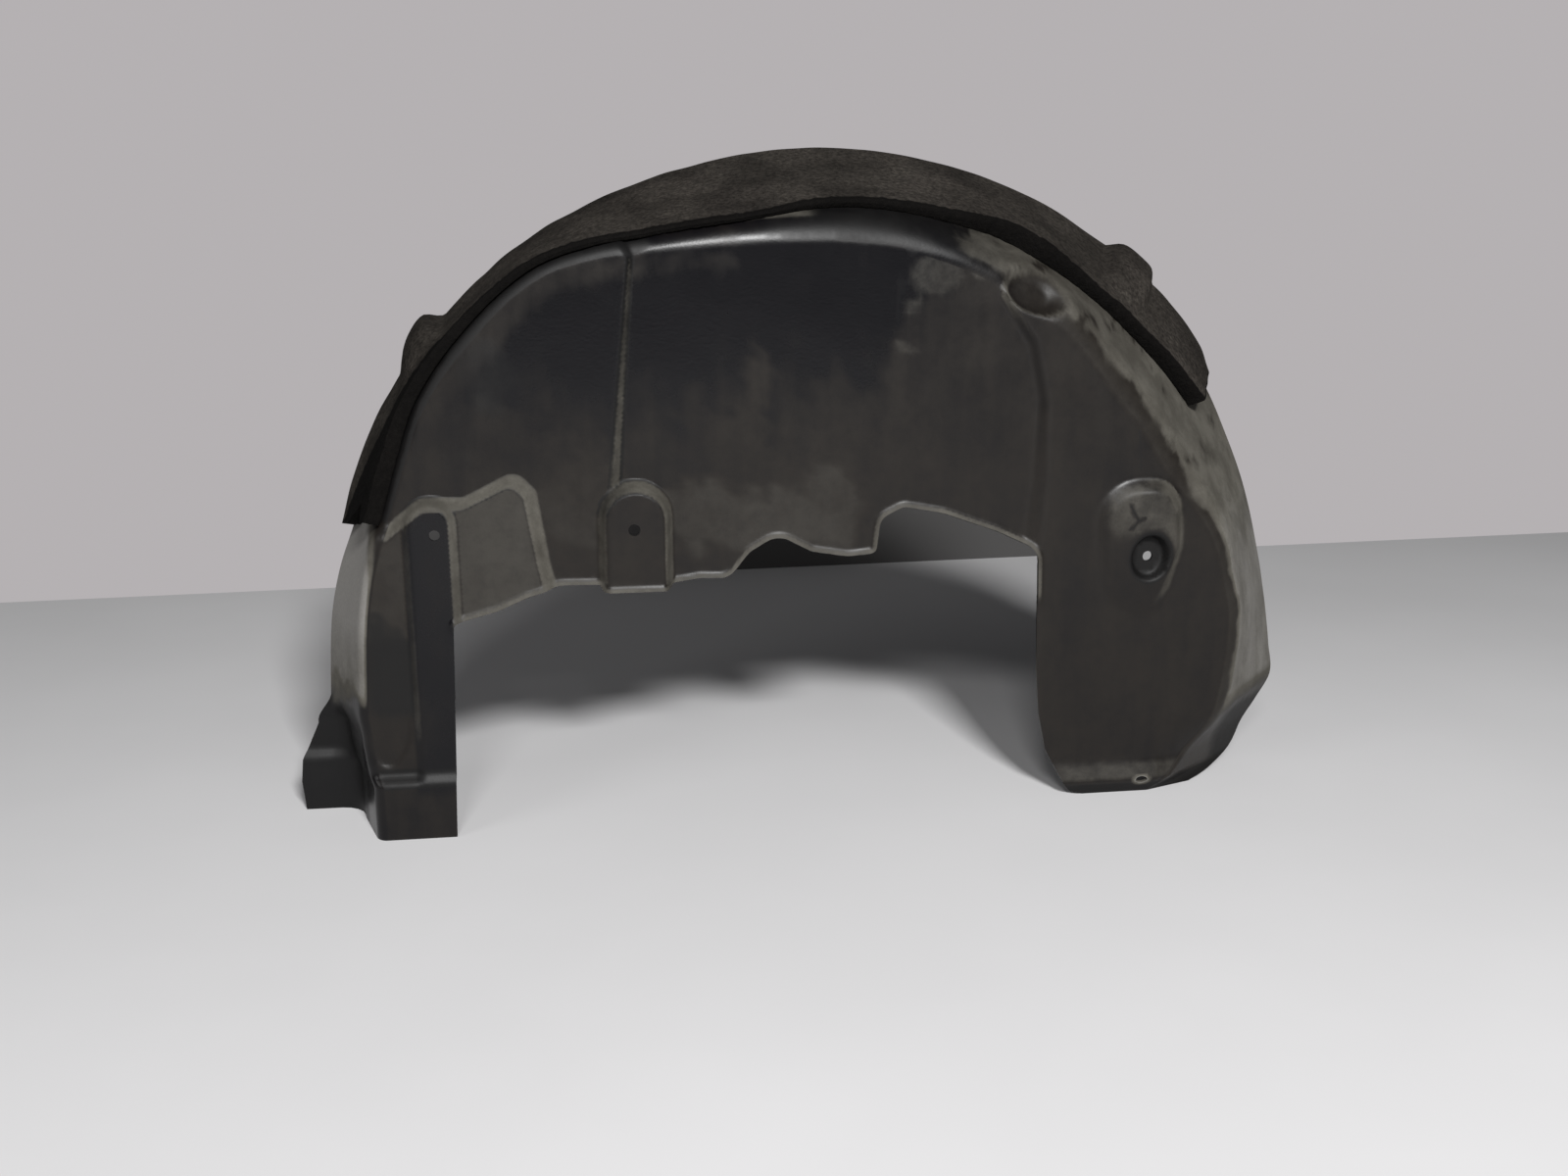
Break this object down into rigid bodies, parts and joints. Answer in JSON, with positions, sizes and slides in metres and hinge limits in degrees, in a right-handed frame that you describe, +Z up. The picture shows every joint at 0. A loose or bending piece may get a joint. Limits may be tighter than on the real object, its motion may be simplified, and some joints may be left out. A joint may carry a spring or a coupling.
{
  "type": "wheel arch liner",
  "caption": "Moulded plastic wheel arch liner: a D-shaped inner wall with bosses and feet, a flared arch band behind it and a foam sealing strip on its outside.",
  "frame": {"origin": "middle of the wall of the middle tab, on the axis of its screw hole", "axes": "+Z up, -Y towards the car body (the pictured side), +Y towards the wheel, +X to the right in the picture"},
  "size_m": [0.821, 0.1515, 0.5143],
  "materials": {
    "moulded_plastic": "semi-gloss black moulding, dulled by road dust",
    "sealing_foam": "matt open foam, dusty outside and black on its cut edge"
  },
  "bodies": {
    "root": {"liner_shell": "moulded_plastic", "foam_strip": "sealing_foam"}
  },
  "joints": []
}
